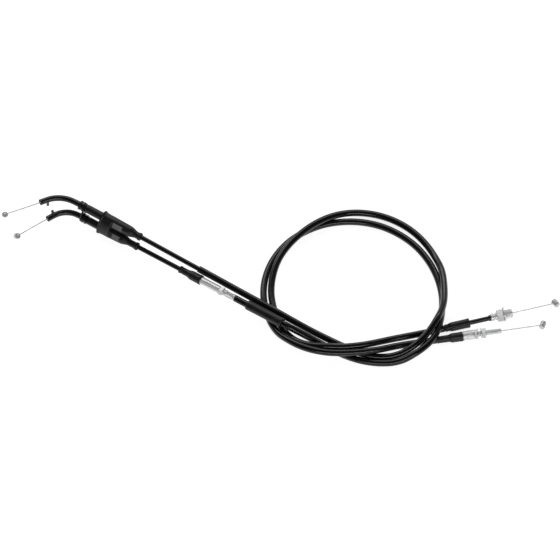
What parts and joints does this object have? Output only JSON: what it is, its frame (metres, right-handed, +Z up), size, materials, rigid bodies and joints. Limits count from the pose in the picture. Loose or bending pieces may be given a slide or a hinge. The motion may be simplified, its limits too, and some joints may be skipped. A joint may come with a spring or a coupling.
{
  "type": "throttle cable pair",
  "caption": "Push-pull throttle cable pair, coiled once: bent elbows in a shared rubber boot at one end, threaded fittings at the other, in-line adjuster on the pull cable.",
  "frame": {"origin": "bottom centre of the whole object's box, on the surface the coil lies on", "axes": "+X along the longest extent, from the throttle end towards the carburettor end; +Z up, out of the coil's plane"},
  "size_m": [0.5585, 0.1982, 0.0238],
  "materials": {
    "black_vinyl": "smooth glossy extruded vinyl",
    "black_rubber": "moulded rubber, satin",
    "black_paint": "black painted steel",
    "liner_plastic": "smooth white low-friction plastic",
    "steel_wire": "bright stranded steel wire",
    "nipple_zinc": "dull cast zinc",
    "plated_steel": "bright zinc plate"
  },
  "bodies": {
    "root": {"adjuster_stud": "plated_steel", "pull_carb_boot": "black_rubber", "pull_carb_stud": "plated_steel", "pull_core_wire": "steel_wire", "pull_jacket": "black_vinyl", "pull_lower_conduit": "black_vinyl", "pull_lower_liner": "liner_plastic", "pull_throttle_ferrule": "black_rubber", "pull_upper_conduit": "black_vinyl", "pull_upper_liner": "liner_plastic", "retainer_plate": "black_paint", "return_conduit": "black_vinyl", "return_core_wire": "steel_wire", "return_end_cap": "black_vinyl", "return_ferrule": "plated_steel", "return_jacket": "black_vinyl", "return_liner": "liner_plastic", "return_throttle_ferrule": "black_rubber"},
    "return_elbow": {"return_elbow": "black_paint", "return_elbow_collar": "black_paint"},
    "pull_elbow": {"pull_elbow": "black_paint", "pull_elbow_collar": "black_paint"},
    "return_throttle_end": {"return_throttle_wire": "steel_wire", "return_throttle_nipple": "nipple_zinc"},
    "pull_throttle_end": {"pull_throttle_wire": "steel_wire", "pull_throttle_nipple": "nipple_zinc"},
    "return_carb_end": {"return_carb_wire": "steel_wire", "return_carb_nipple": "nipple_zinc"},
    "pull_carb_end": {"pull_carb_wire": "steel_wire", "pull_carb_nipple": "nipple_zinc"},
    "twin_boot": {"twin_boot": "black_rubber"},
    "adjuster_boot": {"adjuster_boot": "black_rubber"},
    "adjuster_barrel": {"adjuster_barrel": "plated_steel"},
    "adjuster_lock_nut": {"adjuster_lock_nut": "plated_steel"},
    "adjuster_cover": {"adjuster_cover": "black_rubber"},
    "return_carb_boot": {"return_carb_boot": "black_rubber"},
    "return_union_nut": {"return_union_nut": "plated_steel"},
    "return_washer": {"return_washer": "plated_steel"},
    "pull_inner_washer": {"pull_inner_washer": "plated_steel"},
    "pull_inner_nut": {"pull_inner_nut": "plated_steel"},
    "pull_outer_washer": {"pull_outer_washer": "plated_steel"},
    "pull_outer_nut": {"pull_outer_nut": "plated_steel"}
  },
  "joints": [
    {"name": "return_elbow_swivel", "type": "hinge", "parent": "root", "child": "return_elbow", "pos_m": [-0.19472, 0.08338, 0.01694], "axis": [0.8387, -0.5446, 0], "range_deg": [-6, 6]},
    {"name": "pull_elbow_swivel", "type": "hinge", "parent": "root", "child": "pull_elbow", "pos_m": [-0.19783, 0.0786, 0.00706], "axis": [0.8387, -0.5446, 0], "range_deg": [-6, 6]},
    {"name": "return_throttle_slide", "type": "slide", "parent": "return_elbow", "child": "return_throttle_end", "axis": [-0.9438, -0.3024, -0.1334], "range_m": [-0.03, 0.036], "deforming": ["return_throttle_wire"]},
    {"name": "pull_throttle_slide", "type": "slide", "parent": "pull_elbow", "child": "pull_throttle_end", "axis": [-0.8407, -0.5385, -0.0573], "range_m": [-0.028, 0.034], "deforming": ["pull_throttle_wire"]},
    {"name": "return_carb_slide", "type": "slide", "parent": "root", "child": "return_carb_end", "axis": [0.9725, 0.2227, 0.0678], "range_m": [-0.036, 0.03], "deforming": ["return_carb_wire"]},
    {"name": "pull_carb_slide", "type": "slide", "parent": "root", "child": "pull_carb_end", "axis": [0.9898, 0.125, 0.0678], "range_m": [-0.034, 0.028], "deforming": ["pull_carb_wire"]},
    {"name": "twin_boot_slide", "type": "slide", "parent": "root", "child": "twin_boot", "axis": [0.8387, -0.5446, 0], "range_m": [-0.014, 0.003]},
    {"name": "adjuster_boot_slide", "type": "slide", "parent": "root", "child": "adjuster_boot", "axis": [0.8277, -0.5598, 0.0382], "range_m": [-0.035, 0.004]},
    {"name": "barrel_turn", "type": "hinge", "parent": "root", "child": "adjuster_barrel", "pos_m": [-0.0729, -0.00431, 0.01012], "axis": [0.8277, -0.5598, 0.0382], "range_deg": [-720, 720]},
    {"name": "lock_nut_turn", "type": "hinge", "parent": "root", "child": "adjuster_lock_nut", "pos_m": [-0.05932, -0.01349, 0.01075], "axis": [0.8277, -0.5598, 0.0382], "range_deg": [0, 360]},
    {"name": "adjuster_cover_slide", "type": "slide", "parent": "root", "child": "adjuster_cover", "axis": [0.8277, -0.5598, 0.0382], "range_m": [-0.026, 0]},
    {"name": "return_boot_slide", "type": "slide", "parent": "root", "child": "return_carb_boot", "axis": [0.9725, 0.2227, 0.0678], "range_m": [0, 0.0215]},
    {"name": "union_nut_turn", "type": "hinge", "parent": "root", "child": "return_union_nut", "pos_m": [0.21969, -0.0416, 0.00838], "axis": [0.9725, 0.2227, 0.0678], "continuous": true},
    {"name": "return_washer_slide", "type": "slide", "parent": "return_union_nut", "child": "return_washer", "axis": [0.9725, 0.2227, 0.0678], "range_m": [0, 0.006]},
    {"name": "inner_washer_slide", "type": "slide", "parent": "root", "child": "pull_inner_washer", "axis": [0.9898, 0.125, 0.0678], "range_m": [0, 0.001]},
    {"name": "inner_nut_turn", "type": "hinge", "parent": "pull_inner_washer", "child": "pull_inner_nut", "pos_m": [0.19475, -0.06359, 0.00689], "axis": [0.9898, 0.125, 0.0678], "range_deg": [0, 360]},
    {"name": "outer_washer_slide", "type": "slide", "parent": "root", "child": "pull_outer_washer", "axis": [0.9898, 0.125, 0.0678], "range_m": [0, 0.01]},
    {"name": "outer_nut_turn", "type": "hinge", "parent": "pull_outer_washer", "child": "pull_outer_nut", "pos_m": [0.20188, -0.06269, 0.00738], "axis": [0.9898, 0.125, 0.0678], "range_deg": [0, 3600]}
  ],
  "couplings": [
    {"joint": "return_throttle_slide", "follows": "return_carb_slide", "ratio": -1},
    {"joint": "pull_throttle_slide", "follows": "pull_carb_slide", "ratio": -1},
    {"joint": "inner_nut_turn", "follows": "inner_washer_slide", "rad_per_m": 6283.2},
    {"joint": "outer_nut_turn", "follows": "outer_washer_slide", "rad_per_m": 6283.2}
  ]
}
